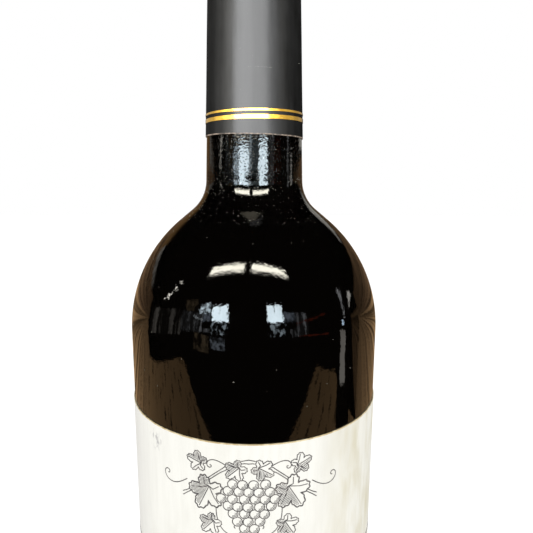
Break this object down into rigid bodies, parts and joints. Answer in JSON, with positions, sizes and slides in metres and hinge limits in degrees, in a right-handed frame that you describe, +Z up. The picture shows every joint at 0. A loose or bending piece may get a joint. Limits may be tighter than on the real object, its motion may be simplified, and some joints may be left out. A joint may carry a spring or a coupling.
{
  "type": "wine bottle",
  "caption": "Sealed dark glass wine bottle with round shoulders, a foil capsule with gold bands over the neck, a wrapped paper label and a hollow base.",
  "frame": {"origin": "centre of the foot, on the surface that the bottle stands on", "axes": "+Z up along the bottle's axis, -Y towards the front of the label"},
  "size_m": [0.0766, 0.0763, 0.3003],
  "materials": {
    "dark_glass": "smooth glossy near-black glass, pebbled on the neck",
    "foil_capsule": "satin dark grey lacquered foil",
    "gold_foil": "hot-stamped gold foil, bright satin",
    "label_paper": "uncoated off-white felt-marked paper",
    "label_ink": "dark grey printed line work"
  },
  "bodies": {
    "root": {"bottle": "dark_glass", "capsule": "foil_capsule", "gold_band_wide": "gold_foil", "gold_band_thin": "gold_foil", "label": "label_paper"}
  },
  "joints": []
}
